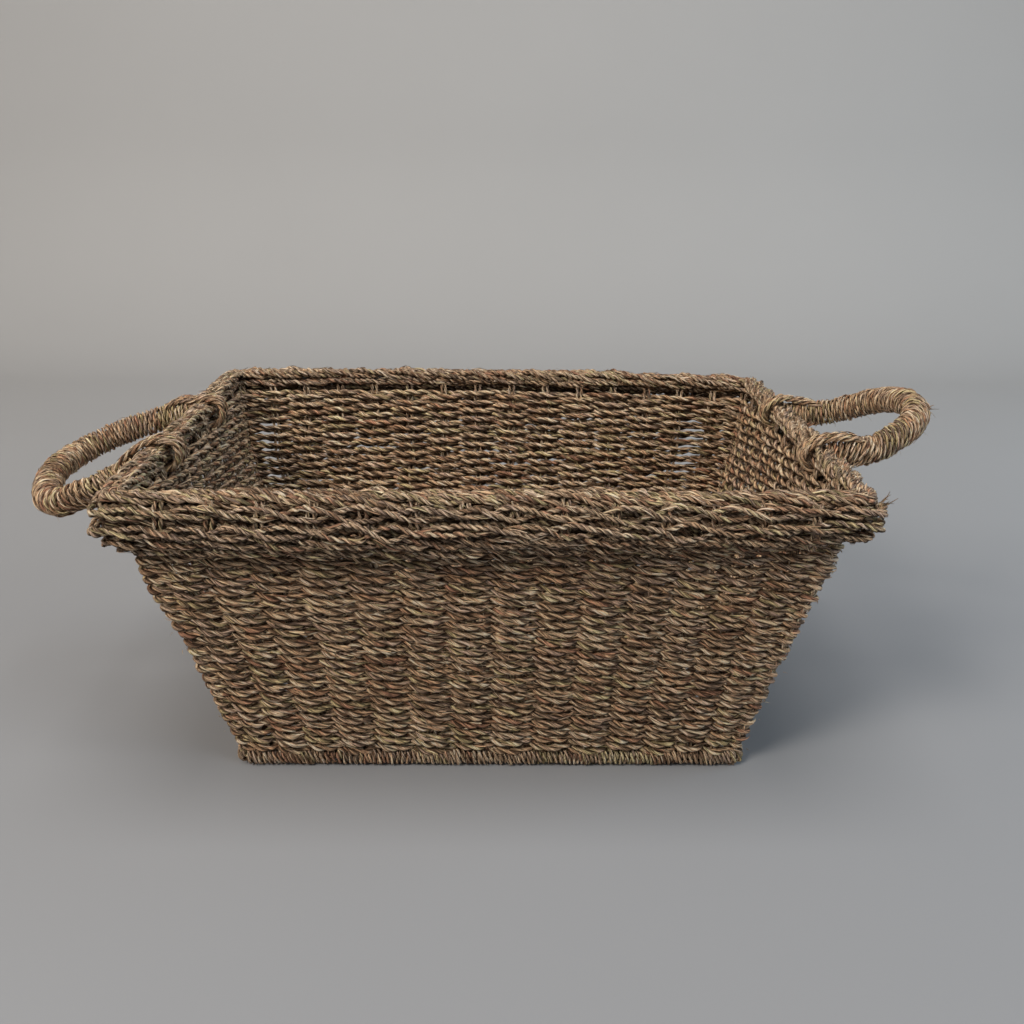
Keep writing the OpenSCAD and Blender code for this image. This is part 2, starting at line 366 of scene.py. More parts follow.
class Ring:
    """A closed path round the basket: points, stake count along it, outward and up directions."""

    def __init__(self, places, z, spacing, corner, tilt=0.0):
        stakes = np.concatenate([places, places[:1]])
        far = lengths_along(stakes)
        n = int(far[-1] / spacing)
        s = np.arange(n) * far[-1] / n
        count = np.arange(len(stakes), dtype=float)
        self.phase = np.interp(s, far, count)
        flat = np.stack([np.interp(s, far, stakes[:, 0]), np.interp(s, far, stakes[:, 1])], axis=1)
        flat = np.stack([round_smooth(flat[:, a], corner / spacing) for a in (0, 1)], axis=1)
        run = unit(np.roll(flat, -1, axis=0) - np.roll(flat, 1, axis=0))
        side = np.stack([run[:, 1], -run[:, 0], np.zeros(n)], axis=1)
        lift = np.array([0, 0, 1.0])
        self.centre = np.concatenate([flat, np.full((n, 1), z)], axis=1)
        self.out = side * math.cos(tilt) - lift * math.sin(tilt)
        self.up = side * math.sin(tilt) + lift * math.cos(tilt)
        self.run = np.concatenate([run, np.zeros((n, 1))], axis=1)

    def moved(self, out, up):
        n = len(self.centre)
        out, up = np.broadcast_to(out, n), np.broadcast_to(up, n)
        return self.centre + out[:, None] * self.out + up[:, None] * self.up


def smooth_path(knots, spacing):
    """Even points along a Catmull-Rom curve through the knots."""
    knots = np.array(knots, float)
    ends = np.concatenate([[2 * knots[0] - knots[1]], knots, [2 * knots[-1] - knots[-2]]])
    points = []
    for a, b, c, d in zip(ends, ends[1:], ends[2:], ends[3:]):
        t = np.linspace(0, 1, 24, endpoint=False)[:, None]
        points.append(0.5 * (2 * b + (c - a) * t + (2 * a - 5 * b + 4 * c - d) * t ** 2
                             + (3 * b - a - 3 * c + d) * t ** 3))
    points = np.concatenate(points + [knots[-1:]])
    far = lengths_along(points)
    s = np.linspace(0, far[-1], int(far[-1] / spacing) + 2)
    return np.stack([np.interp(s, far, points[:, a]) for a in range(points.shape[1])], axis=1)


def path_frames(points, first):
    """Run, side and lift along a path, carried along it without twisting."""
    run = unit(np.gradient(points, axis=0))
    side = np.empty_like(points)
    last = first
    for i, heading in enumerate(run):
        last = last - heading * np.dot(last, heading)
        last = last / np.linalg.norm(last)
        side[i] = last
    return run, side, np.cross(run, side)


# ---------------------------------------------------------------- materials
def new_material(name):
    """An empty node material, with a function that adds a node and one that links two."""
    material = bpy.data.materials.new(name)
    material.use_nodes = True
    tree = material.node_tree
    tree.nodes.clear()

    def node(kind, **settings):
        made = tree.nodes.new(kind)
        for key, value in settings.items():
            if key == "inputs":
                for socket, given in value.items():
                    made.inputs[socket].default_value = given
            else:
                setattr(made, key, value)
        return made

    def link(source, output, target, socket):
        tree.links.new(source.outputs[output], target.inputs[socket])

    return material, node, link


SEAGRASS_LEAVES = [      # place on the hue scale, colour
    (0.00, (0.680, 0.440, 0.320)),
    (0.07, (0.720, 0.500, 0.350)),
    (0.20, (0.840, 0.620, 0.440)),
    (0.45, (0.980, 0.755, 0.560)),
    (0.66, (0.890, 0.685, 0.520)),
    (0.80, (0.760, 0.590, 0.490)),
    (0.93, (0.910, 0.750, 0.490)),
    (1.00, (0.780, 0.670, 0.440)),
]
PALEST = (0.88, 0.76, 0.60)          # no dry leaf is paler than this
PAINTED_SHADE_BROWN = (0.030, 0.0125, 0.004, 1)     # painted shade: the dark brown put between the plies and between packed cords
BARE_WIRE = (0.045, 0.043, 0.042, 1)
RUST = (0.16, 0.065, 0.03, 1)
FLOOR_PAINT = (0.31, 0.315, 0.33, 1)
WALL_PAINT = (0.54, 0.53, 0.52, 1)


def seagrass(name, gain=1.0, warmth=1.0):
    """Dry seagrass: a leaf's own colour, blades and ribs along it, darker flecks, a dull sheen, and
    painted shade in dark brown where the deep attribute is high.

    gain makes it lighter and warmth makes it redder.
    """
    material, node, link = new_material(name)
    fibre = node("ShaderNodeAttribute", attribute_name="fibre")
    hue = node("ShaderNodeAttribute", attribute_name="hue")
    value = node("ShaderNodeAttribute", attribute_name="value")
    deep = node("ShaderNodeAttribute", attribute_name="deep")

    def grain(scale, detail, roughness=0.5):
        """Noise that is drawn out along the fibres."""
        place = node("ShaderNodeMapping", inputs={"Scale": scale})
        texture = node("ShaderNodeTexNoise", inputs={
            "Scale": 1.0, "Detail": detail, "Roughness": roughness})
        link(fibre, "Vector", place, "Vector")
        link(place, "Vector", texture, "Vector")
        return texture

    def remap(source, output, low, high, to_low, to_high):
        made = node("ShaderNodeMapRange", inputs={
            "From Min": low, "From Max": high, "To Min": to_low, "To Max": to_high})
        link(source, output, made, "Value")
        return made

    def times(first, second):
        made = node("ShaderNodeMath", operation="MULTIPLY")
        link(first, 0, made, 0)
        link(second, 0, made, 1)
        return made

    leaves = grain((0.9, 1.5, 1.5), 1.0)
    ribs = grain((1.2, 4.6, 4.6), 3.0, 0.6)
    flecks = grain((3.2, 2.2, 2.2), 4.0, 0.65)
    drift = grain((0.5, 0.6, 0.6), 1.0)

    shift = node("ShaderNodeMath", operation="MULTIPLY_ADD", inputs={1: 0.6, 2: -0.3})
    link(drift, "Fac", shift, 0)
    tone = node("ShaderNodeMath", operation="ADD", use_clamp=True)
    link(hue, "Fac", tone, 0)
    link(shift, "Value", tone, 1)
    leaf = node("ShaderNodeValToRGB")
    ramp = leaf.color_ramp
    while len(ramp.elements) < len(SEAGRASS_LEAVES):
        ramp.elements.new(0.5)
    for element, (place, colour) in zip(ramp.elements, SEAGRASS_LEAVES):
        element.position = place
        element.color = (colour[0] * gain * warmth, colour[1] * gain, colour[2] * gain / warmth, 1)
    link(tone, "Value", leaf, "Fac")

    light = times(
        remap(leaves, "Fac", 0.36, 0.62, 0.36, 1.3), remap(ribs, "Fac", 0.32, 0.68, 0.55, 1.3)
    )
    light = times(light, remap(flecks, "Fac", 0.32, 0.5, 0.45, 1.0))
    light = times(light, remap(value, "Fac", 0.0, 1.0, 0.6, 1.28))
    lit = node("ShaderNodeVectorMath", operation="SCALE")
    link(leaf, "Color", lit, 0)
    link(light, "Value", lit, "Scale")
    rich = node("ShaderNodeGamma", inputs={"Gamma": 1.5})
    link(lit, "Vector", rich, "Color")
    palest = node("ShaderNodeVectorMath", operation="MINIMUM", inputs={1: PALEST})
    link(rich, "Color", palest, 0)
    # Painted shade: the colour is mixed towards dark brown where the deep attribute is high, in the
    # crevices between plies and packed cords.
    shade_mix = node("ShaderNodeMixRGB", inputs={"Color2": PAINTED_SHADE_BROWN})
    link(remap(deep, "Fac", 0.08, 0.8, 0.0, 0.97), "Result", shade_mix, "Fac")
    link(palest, "Vector", shade_mix, "Color1")

    relief = node("ShaderNodeMath", operation="MULTIPLY_ADD", inputs={1: 1.6})
    link(leaves, "Fac", relief, 0)
    link(ribs, "Fac", relief, 2)
    bump = node("ShaderNodeBump", inputs={"Strength": 0.9, "Distance": 0.0006})
    link(relief, "Value", bump, "Height")
    shader = node("ShaderNodeBsdfPrincipled", inputs={"Specular IOR Level": 0.3})
    link(remap(flecks, "Fac", 0.3, 0.7, 0.5, 0.75), "Result", shader, "Roughness")
    link(shade_mix, "Color", shader, "Base Color")
    link(bump, "Normal", shader, "Normal")
    output = node("ShaderNodeOutputMaterial")
    link(shader, "BSDF", output, "Surface")
    return material


def rusty_wire(name):
    """Dull iron wire with patches of rust."""
    material, node, link = new_material(name)
    place = node("ShaderNodeTexCoord")
    patches = node("ShaderNodeTexNoise", inputs={"Scale": 90.0, "Detail": 5.0})
    link(place, "Object", patches, "Vector")
    colour = node("ShaderNodeValToRGB")
    colour.color_ramp.elements[0].position = 0.42
    colour.color_ramp.elements[0].color = BARE_WIRE
    colour.color_ramp.elements[1].position = 0.62
    colour.color_ramp.elements[1].color = RUST
    link(patches, "Fac", colour, "Fac")
    rough = node("ShaderNodeMapRange", inputs={"To Min": 0.35, "To Max": 0.9})
    link(patches, "Fac", rough, "Value")
    bump = node("ShaderNodeBump", inputs={"Strength": 0.3, "Distance": 0.0002})
    link(patches, "Fac", bump, "Height")
    shader = node("ShaderNodeBsdfPrincipled", inputs={"Metallic": 0.6})
    link(colour, "Color", shader, "Base Color")
    link(rough, "Result", shader, "Roughness")
    link(bump, "Normal", shader, "Normal")
    output = node("ShaderNodeOutputMaterial")
    link(shader, "BSDF", output, "Surface")
    return material


def backdrop_paint(name):
    """Matt pale grey, a little darker and cooler on the floor than on the wall."""
    material, node, link = new_material(name)
    place = node("ShaderNodeTexCoord")
    cloud = node("ShaderNodeTexNoise", inputs={"Scale": 3.0, "Detail": 3.0})
    link(place, "Object", cloud, "Vector")
    split = node("ShaderNodeSeparateXYZ")
    link(place, "Object", split, "Vector")
    back = node("ShaderNodeMapRange", inputs={"From Min": 0.1, "From Max": 1.3})
    link(split, "Y", back, "Value")
    paint = node("ShaderNodeValToRGB")
    paint.color_ramp.elements[0].color = FLOOR_PAINT
    paint.color_ramp.elements[1].color = WALL_PAINT
    link(back, "Result", paint, "Fac")
    mottle = node("ShaderNodeMapRange", inputs={"To Min": 0.97, "To Max": 1.03})
    link(cloud, "Fac", mottle, "Value")
    tint = node("ShaderNodeVectorMath", operation="SCALE")
    link(paint, "Color", tint, 0)
    link(mottle, "Result", tint, "Scale")
    shader = node("ShaderNodeBsdfPrincipled", inputs={"Roughness": 0.75})
    link(tint, "Vector", shader, "Base Color")
    output = node("ShaderNodeOutputMaterial")
    link(shader, "BSDF", output, "Surface")
    return material


weave_grass = seagrass("seagrass_weave", 1.055, 1.035)
rim_grass = seagrass("seagrass_rim", 1.03)
handle_grass = seagrass("seagrass_handle", 1.08, 1.03)
stake_grass = seagrass("seagrass_stake", 1.1)
wire_metal = rusty_wire("frame_wire")


# ---------------------------------------------------------------- walls
CORD_OUT = 2.25          # half the cord's thickness, through the wall
CORD_UP = 2.55           # half its thickness up the wall, where it is not squeezed
SWING = 2.9              # how far it swings to each side of the stakes
LAY = 18.5               # length of one full turn of its two plies
SAG = 0.7                # how far a stitch droops between its ends
ROW_STEP = 1.3           # spacing of rings along a cord
CORNER = 2.6             # how softly the corners are rounded
CORNER_CALM = 0.62       # the share of its swing that a cord loses at a corner

# Loose places where light shows between the rows: stake count, height, half widths of both
LOOSE = [(40.2, 138, 0.36, 40), (27.6, 132, 0.55, 26)]
GAP_SHIFT = 0.46         # there the rows move apart in pairs
GAP_THIN = 0.33          # and their cords are thinner by this share

# Long waves of the rows: how many go round the basket, how high
HILLS = [(1, 0.5), (3, 0.4), (5, 0.35), (9, 0.3)]
hill_seeds = rng.uniform(0, TAU, (3, len(HILLS)))


def hills(phase, z):
    """Long waves that neighbouring rows share, and that drift with height."""
    low = waves(phase, STAKE_COUNT, HILLS, hill_seeds[0])
    high = waves(phase, STAKE_COUNT, HILLS, hill_seeds[1])
    t = (z - WEAVE_LOW) / (WEAVE_TOP - WEAVE_LOW)
    return (low * (1 - t) + high * t) * math.sin(math.pi * min(max(t, 0.06), 0.94)) ** 0.5


def soft_swing(phase):
    """Which side of the stakes a cord is on, from -1 inside to 1 outside."""
    c = np.cos(math.pi * phase)
    return c * (1.4 - 0.4 * c * c)


def looseness(phase, z):
    """1 in the middle of a loose place, 0 away from them."""
    total = np.zeros_like(phase)
    for place, height, wide, tall in LOOSE:
        total += np.exp(-((phase - place) / wide) ** 4) * math.exp(-((z - height) / tall) ** 4)
    return total


CORNERS = (0, LONG_BAYS, LONG_BAYS + END_BAYS, 2 * LONG_BAYS + END_BAYS)
CORNER_STAKES = np.array(CORNERS + (STAKE_COUNT,))


def near_corner(phase, reach=0.7):
    """1 at a corner of the basket, falling to 0 away from it."""
    away = np.abs(phase[:, None] - CORNER_STAKES[None, :]).min(axis=1)
    return np.exp(-(away / reach) ** 2)


def by_stake(phase, size):
    """Random amounts, one for each stake, blended between stakes."""
    amounts = rng.normal(0, size, STAKE_COUNT)
    amounts = np.append(amounts, amounts[0])
    return np.interp(phase, np.arange(STAKE_COUNT + 1), amounts)


def weft_row(strands, row):
    """One woven cord, once round the basket, in front of every other stake."""
    z = WEAVE_LOW + (row + 0.5) * ROW
    ring = Ring(stake_places(z), z, ROW_STEP, CORNER, OUT_TILT)
    phase = ring.phase
    swing = soft_swing(phase + row)
    squeeze = np.abs(swing)
    own = waves(phase, STAKE_COUNT, [(7, 0.2), (13, 0.2), (23, 0.15)], rng.uniform(0, TAU, 3))
    own = own + by_stake(phase, 0.32)
    gap = looseness(phase, z)
    corner = near_corner(phase)
    out = SWING * swing * (1 - CORNER_CALM * corner) + by_stake(phase, 0.3)
    apart = gap * (GAP_SHIFT if row % 2 == 0 else -GAP_SHIFT)
    up = hills(phase, z) + own - SAG * (squeeze - 0.5) + apart
    fat = (0.82 + 0.18 * squeeze) * (1 + by_stake(phase, 0.07))
    # The row gets painted shade on its edges, where it packs against the rows above and below.
    two_ply(
        strands, ring.moved(out, up), ring.out, ring.up,
        CORD_OUT * (1.1 - 0.1 * squeeze), CORD_UP * fat * (1 - GAP_THIN * gap), True,
        LAY + rng.uniform(-1.5, 1.5), loose=3.2, under=1.0,
    )


def walls():
    for course in range(1, COURSES + 1):
        strands = Strands()
        weft_row(strands, 2 * course - 2)
        weft_row(strands, 2 * course - 1)
        strands.make(
            "woven_course_%02d" % course, weave_grass, "basket",
            ["weft_course_%02d" % course],
        )


STAKE_SIDE = 1.6         # each stake is a pair of thin cords this far either side of its line
STAKE_R = 1.15           # half the thickness of such a cord
STAKE_LAY = 9.0
CORNER_IN = 2.0          # how far inside the wall's line a corner stake stands


def straight_pair(strands, low, high, across, outward):
    """A pair of thin cords between two points."""
    n = max(8, int(np.linalg.norm(high - low) / 2.0))
    t = np.linspace(0, 1, n)[:, None]
    line = low * (1 - t) + high * t
    for side in (-1, 1):
        bend = 0.25 * np.sin(t * 30 + rng.uniform(0, TAU))
        centre = line + across * (side * STAKE_SIDE + bend)
        u = np.broadcast_to(outward, centre.shape)
        v = np.broadcast_to(across, centre.shape)
        two_ply(strands, centre, u, v, STAKE_R, STAKE_R, False, STAKE_LAY, sides=5)


def wall_stakes():
    low_z, high_z = EDGE_TOP - 2, ROLL_Z - ROLL_R + 1
    low, high = stake_places(low_z), stake_places(high_z)
    groups = {
        "stakes_front": range(1, LONG_BAYS),
        "stakes_right": range(LONG_BAYS + 1, LONG_BAYS + END_BAYS),
        "stakes_back": range(LONG_BAYS + END_BAYS + 1, 2 * LONG_BAYS + END_BAYS),
        "stakes_left": range(2 * LONG_BAYS + END_BAYS + 1, STAKE_COUNT),
        "stakes_corner": CORNERS,
    }
    for node, members in groups.items():
        strands = Strands()
        for k in members:
            a, b = np.append(low[k], low_z), np.append(high[k], high_z)
            before, after = low[(k - 1) % STAKE_COUNT], low[(k + 1) % STAKE_COUNT]
            across = unit(np.append(after - before, 0.0))
            if node == "stakes_corner":
                inward = unit(np.append(-low[k], 0.0)) * CORNER_IN
                a, b = a + inward, b + inward
            outward = np.cross(across, unit(b - a))
            straight_pair(strands, a, b, across, outward)
        strands.make(node + "_cords", stake_grass, "basket", [node])


# ---------------------------------------------------------------- base
EDGE_R = 5.5             # the CAD edge's own radius
EDGE_PROUD = 2.6         # the wrapping bulges a little past the wall
EDGE_Z = 5.8             # height of its middle line
EDGE_CORNER = 3.2        # how softly its corners are rounded
EDGE_WRAP = 3.55         # from there to the middle of the winding cord
EDGE_PITCH = 2.9         # from one turn to the next
EDGE_CORD = 1.6          # half the cord's thickness
WOUND_LAY = 12.0         # length of one full turn of a wound cord's plies
FLOOR_ROW = 3.1          # spacing of the floor's cords
FLOOR_STEP = 1.7         # spacing of rings along them
FLOOR_SWING = 2.6        # how far they pass over and under the stakes
FLOOR_UP = 2.2           # half a cord's thickness, up and along the floor
FLOOR_SIDE = 2.5


def wound(strands, path, run, u, v, radius, pitch, half, lean, closed, twist=1.0, step=1.4,
          square=0.0, taper=0.0, loose=9.0):
    """A cord wound round a path, half its thickness given by half and its turns pitch apart.

    lean tips each turn along the path, square swells the turns' corners, and taper is the length
    over which an end gets thinner.
    """
    along = lengths_along(path)
    total = along[-1] + (np.linalg.norm(path[0] - path[-1]) if closed else 0)
    turns = total / pitch
    if closed:
        turns = round(turns)
        path, run, u, v = (np.concatenate([a, a[:1]]) for a in (path, run, u, v))
        along = np.append(along, total)
    n = int(turns * TAU * radius / step)
    s = np.linspace(0, total, n, endpoint=not closed)
    fade = 1.0 if closed else np.clip(np.minimum(s, total - s) / (3 * pitch), 0, 1)
    crowd = 0.3 * np.sin(s / (pitch * 2.3) + rng.uniform(0, TAU))
    crowd = crowd + 0.25 * np.sin(s / (pitch * 5.1) + rng.uniform(0, TAU))
    angle = twist * TAU * turns * s / total
    tip = lean * np.cos(angle + 0.6 + 0.5 * np.sin(s / 19))
    at = np.clip(s + (crowd * pitch + tip) * fade, 0, total)

    def pick(values):
        return np.stack([np.interp(at, along, values[:, a]) for a in range(3)], axis=1)

    here, heading, side, lift = pick(path), unit(pick(run)), unit(pick(u)), unit(pick(v))
    cosine, sine = np.cos(angle), np.sin(angle)
    reach = radius * (1 + 0.035 * np.sin(angle * 0.51) + 0.03 * np.sin(angle * 0.173))
    reach = reach * (1 + square * 2 * (cosine * sine) ** 2)
    if taper:
        reach = reach * (1 - 0.13 * (1 - np.clip(np.minimum(s, total - s) / taper, 0, 1)) ** 1.5)
    radial = cosine[:, None] * side + sine[:, None] * lift
    swell = 1 + 0.1 * np.sin(angle * 0.37 + rng.uniform(0, TAU))
    two_ply(strands, here + radial * reach[:, None], radial, heading, half * swell, half * swell,
            closed, WOUND_LAY, sides=5, loose=loose, hue_run=60.0)


def rectangle(half):
    x, y = half
    return np.array([[-x, -y], [x, -y], [x, y], [-x, y]])


def base_edge():
    """A cord wound round three more that run along the edge of the base."""
    half = (edge_high[:2] - edge_low[:2]) / 2 - EDGE_R + EDGE_PROUD
    ring = Ring(rectangle(half), EDGE_Z, 2.0, EDGE_CORNER)
    strands = Strands()
    wound(strands, ring.centre, ring.run, ring.out, ring.up, EDGE_WRAP, EDGE_PITCH, EDGE_CORD, 1.3,
          True, square=0.25)
    for angle in (0.3, 2.4, 4.5):
        inner = ring.moved(1.5 * math.cos(angle), 1.5 * math.sin(angle))
        two_ply(strands, inner, ring.out, ring.up, EDGE_CORD, EDGE_CORD, True, WOUND_LAY, sides=5,
                loose=0)
    strands.make("base_edge_wrap", rim_grass, "basket", ["base_edge_binding"])


def base_floor():
    low, high = mm_box("base_weave")
    places = stake_places(0)[1:LONG_BAYS, 0]
    reach_y = high[1] - 1.0
    rows = int(2 * reach_y / FLOOR_ROW)
    middle = (low[2] + high[2]) / 2
    ends = high[0] - 1.0
    stakes = np.concatenate([[-ends], places, [ends]])
    x = np.arange(-ends, ends, FLOOR_STEP)
    phase = np.interp(x, stakes, np.arange(len(stakes), dtype=float))
    u = np.tile([0, 0, 1.0], (len(x), 1))
    v = np.tile([0, 1.0, 0], (len(x), 1))
    for part, name in enumerate(("front", "back")):
        strands = Strands()
        for row in range(part * rows // 2, (part + 1) * rows // 2):
            y = -reach_y + (row + 0.5) * 2 * reach_y / rows
            swing = soft_swing(phase + row)
            squeeze = np.abs(swing)
            drift = 0.3 * np.sin(x / 31 + rng.uniform(0, TAU))
            centre = np.stack([x, y + drift, middle + FLOOR_SWING * swing], axis=1)
            wide = FLOOR_SIDE * (0.68 + 0.32 * squeeze)
            two_ply(strands, centre, u, v, FLOOR_UP, wide, False, LAY, loose=12)
        strands.make("base_floor_weave_" + name, weave_grass, "basket",
                     ["base_weave"])
    strands = Strands()
    for place in places:
        a = np.array([place, -reach_y, middle])
        b = np.array([place, reach_y, middle])
        straight_pair(strands, a, b, np.array([1.0, 0, 0]), np.array([0, 0, 1.0]))
    strands.make("base_stake_cords", stake_grass, "basket", ["base_stakes"])


# ---------------------------------------------------------------- rim
RIM_LAY = 9.5            # length of one full turn of a rim cord's plies
RIM_CORNER = 3.4         # how softly the cuff's corners are rounded
HEM_SLOPE = 0.010        # the cuff's lower rows hang lower towards the left


def rim_ring(out, z, spacing=1.35):
    """Path round the rim, out from the roll's axis, counted in stakes."""
    places = stake_places(RIM_TOP)
    scale = (ROLL_HALF + out) / np.abs(places).max(axis=0)
    return Ring(places * scale, z, spacing, RIM_CORNER)


def twined_row(strands, out, z, spread, depth, cord, shift=0.5, pull=0.0, dark=0.0):
    """Two cords that part round every stake and cross between stakes.

    spread and depth are how far they part, up and out, cord is half a cord's thickness and shift
    is where they cross, in stakes. pull draws the row in at the corners of the basket, and
    dark is for rows deep in shadow.
    """
    ring = rim_ring(out, z)
    phase = ring.phase
    ripple = waves(phase, STAKE_COUNT, [(2, 0.35), (7, 0.3), (11, 0.3), (19, 0.25)],
                   rng.uniform(0, TAU, 4)) + by_stake(phase, 0.35)
    ripple = ripple + 0.35 * np.sin(TAU * 97 * phase / STAKE_COUNT + rng.uniform(0, TAU))
    corner = near_corner(phase, 0.5)
    wider = (1 + by_stake(phase, 0.28)) * (1 - 0.45 * corner)
    drawn_in = pull * near_corner(phase, 1.7)
    hang = HEM_SLOPE * ring.centre[:, 0] * (ROLL_Z + ROLL_R - z) / 18
    skew = by_stake(phase, 0.18)
    for side in (0, math.pi):
        angle = math.pi * (phase + 0.5 + shift + skew) + side
        up = spread * wider * np.cos(angle) + ripple + hang
        away = depth * np.sin(angle) * (1 - 0.5 * corner) + by_stake(phase, 0.35) - 0.8 * corner
        away = away - drawn_in
        size = cord * (1 + by_stake(phase, 0.06))
        # Painted shade on the edges where the rim's cords pack together.
        two_ply(strands, ring.moved(away, up), ring.out, ring.up, size, size, True,
                RIM_LAY + rng.uniform(-1, 1), loose=2.2, under=0.85, rough=0.1, dark=dark)


def node_row(node):
    """How far out from the roll's axis, and how high, a CAD row of the cuff lies."""
    low, high = mm_box(node)
    radius = (high[2] - low[2]) / 2
    return high[0] - radius - ROLL_HALF[0], (low[2] + high[2]) / 2


# Rows of the roll, by piece: out and up from its axis, spread, depth, cord, shift, dark (how much
# painted shade covers the row)
ROLL = {
    "rim_roll_cords": [
        (4.6, 2.5, 2.0, 1.5, 2.05, 0.5, 0.0),
        (-2.4, 2.3, 1.9, 1.4, 2.05, 0.1, 0.0),
        (1.0, 3.2, 0.8, 1.6, 2.0, 0.8, 0.0),
    ],
    "rim_roll_under_cords": [
        (-2.2, -2.4, 1.2, 0.8, 1.9, 0.7, 0.0),
        (1.5, -5.2, 0.9, 0.6, 1.9, 0.2, 0.62),
        (4.6, -8.0, 1.2, 0.6, 2.2, 0.2, 0.62),
    ],
}

# Rows of the cuff: node, out and up from the CAD row, pull, spread, depth, cord
CUFF = [
    ("rim_plait_top", 1.4, 2.0, 0.5, 3.1, 1.6, 1.85),
    ("rim_plait_upper", 1.4, 0.9, 3.0, 3.0, 1.6, 1.85),
    ("rim_plait_lower", -1.0, 0.6, 5.0, 2.3, 1.3, 1.85),
    ("rim_plait_hem", -2.5, 0.9, 6.5, 1.7, 0.9, 1.75),
]
BACKING_IN = 4.8         # each has a row this far behind it, darkened with painted shade
BACKING_CORD = 2.2


def rim():
    for name, rows in ROLL.items():
        strands = Strands()
        for out, up, spread, depth, cord, shift, dark in rows:
            twined_row(strands, out, ROLL_Z + up, spread, depth, cord, shift, dark=dark)
        strands.make(name, rim_grass, "basket", ["rim_roll"])
    for node, away, raised, pull, spread, depth, cord in CUFF:
        out, z = node_row(node)
        strands = Strands()
        twined_row(strands, out + away, z + raised, spread, depth, cord, pull=pull)
        behind = out + away - BACKING_IN
        # The backing row gets painted shade (dark 0.5), so the gaps in the cuff look dark.
        twined_row(strands, behind, z + raised, spread * 0.8, 0.6, BACKING_CORD, 0.0, pull, 0.5)
        strands.make(node + "_cords", rim_grass, "basket", [node])


WIRE_R = 2.0
WIRE_Z = 4.9             # height of the wire in the base's edge
WIRE_CORNER = 2.2        # how softly its corners are rounded


def wires():
    for name, ring in (
        ("base_wire", Ring(rectangle(BASE_HALF), WIRE_Z, 2.0, WIRE_CORNER)),
        ("rim_wire", rim_ring(0.0, ROLL_Z)),
    ):
        strands = Strands()
        strands.tube(ring.centre, ring.out, ring.up, WIRE_R, WIRE_R, True, 0.5, 0.5, sides=10)
        strands.make(name + "_rod", wire_metal, "basket", [name])


# A stake's end over the roll and down inside the cuff: out from the roll's axis, up from it
TURNED = [(-3, 1.5), (1, 3.0), (5.0, 1.5), (7.8, -3), (8.6, -9), (7.6, -15), (3.6, -21), (-0.5, -26)]
TURNED_R = 1.3           # half the thickness of each of its two cords


def turned_stakes():
    """Stake ends that come over the roll and down behind the cuff, seen where its cords part."""
    for node, axis in (("rim_turned_stakes_long", 1), ("rim_turned_stakes_end", 0)):
        places = stake_places(RIM_TOP)
        on_wall = np.abs(np.abs(places[:, axis]) - np.abs(places[:, axis]).max()) < 1
        corner = np.abs(np.abs(places[:, 1 - axis]) - np.abs(places[:, 1 - axis]).max()) < 1
        strands = Strands()
        for place in places[on_wall & ~corner]:
            outward = np.zeros(3)
            outward[axis] = np.sign(place[axis])
            across = np.zeros(3)
            across[1 - axis] = 1.0
            for side in (-1, 1):
                knots = []
                for out, up in TURNED:
                    point = np.append(place, ROLL_Z + up)
                    point[axis] = outward[axis] * (ROLL_HALF[axis] + out)
                    knots.append(point + across * (side * STAKE_SIDE + rng.normal(0, 0.25)))
                path = smooth_path(knots, 1.6)
                _, u, v = path_frames(path, across)
                two_ply(strands, path, u, v, TURNED_R, TURNED_R, False, STAKE_LAY, sides=5, loose=0)
        strands.make(node + "_cords", stake_grass, "basket", [node])


# ---------------------------------------------------------------- handles
REST_TILT = {"left": -18, "right": 13}      # degrees above level


def handle_frame(side):
    """Origin, outward, along-Y and upward directions of a handle as it rests."""
    tilt = math.radians(REST_TILT[side])
    sign = -1 if side == "left" else 1
    origin = np.array([sign * ROLL_HALF[0], 0, ROLL_Z])
    outward = np.array([sign * math.cos(tilt), 0, math.sin(tilt)])
    lift = np.array([-sign * math.sin(tilt), 0, math.cos(tilt)])
    return origin, outward, np.array([0, 1.0, 0]), lift


# Middle line of each handle: out from the roll's axis, along the wall, above the handle's plane
HANDLE_KNOTS = {
    "left": [(6.5, -52, 0.5), (22, -55.5, -3), (34.6, -59.5, -5), (42.2, -62.5, -5.6),
             (53.2, -64, -6.2), (63.4, -62, -7.3), (76, -50, -5.2), (85, -28, -1.8),
             (87.6, -4, 2.3), (85, 18, 3.2), (74.5, 34, 4.2), (59.5, 44, 5), (32.8, 50, 4.8),
             (20, 51, 4), (6.5, 51, 2)],
    "right": [(6.5, -51.5, 0.5), (18.3, -53, -0.7), (31, -50, -3.6), (46.7, -42, -2.3),
              (61.2, -28, -1.8), (72.3, -8, -0.6), (71.8, 14, 1.4), (62.4, 34, -1.2),
              (47.2, 44, -4.6), (32.5, 48, -6), (16.7, 50, -4), (6.5, 51, -2)],
}
WRAP_RADIUS = 7.1        # to the middle of the winding cord
WRAP_CORD = 1.45         # half its thickness
WRAP_PITCH = 2.85        # from one turn to the next
CORE_RING = 3.0          # five core cords lie round a sixth, this far out
CORE_CORD = 1.8
CORE_LAY = 15.0
LASH_Y = 51.0            # where the lashings go round the roll, either side of the middle
LASH_COUNT = 4
LASH_CORD = 1.8
LASH_LAY = 11.0


def handle_line(side):
    """Points along a handle's middle line, and its frames."""
    origin, outward, across, lift = handle_frame(side)
    knots = [origin + outward * a + across * b + lift * c for a, b, c in HANDLE_KNOTS[side]]
    path = smooth_path(knots, 1.5)
    return path, path_frames(path, lift)


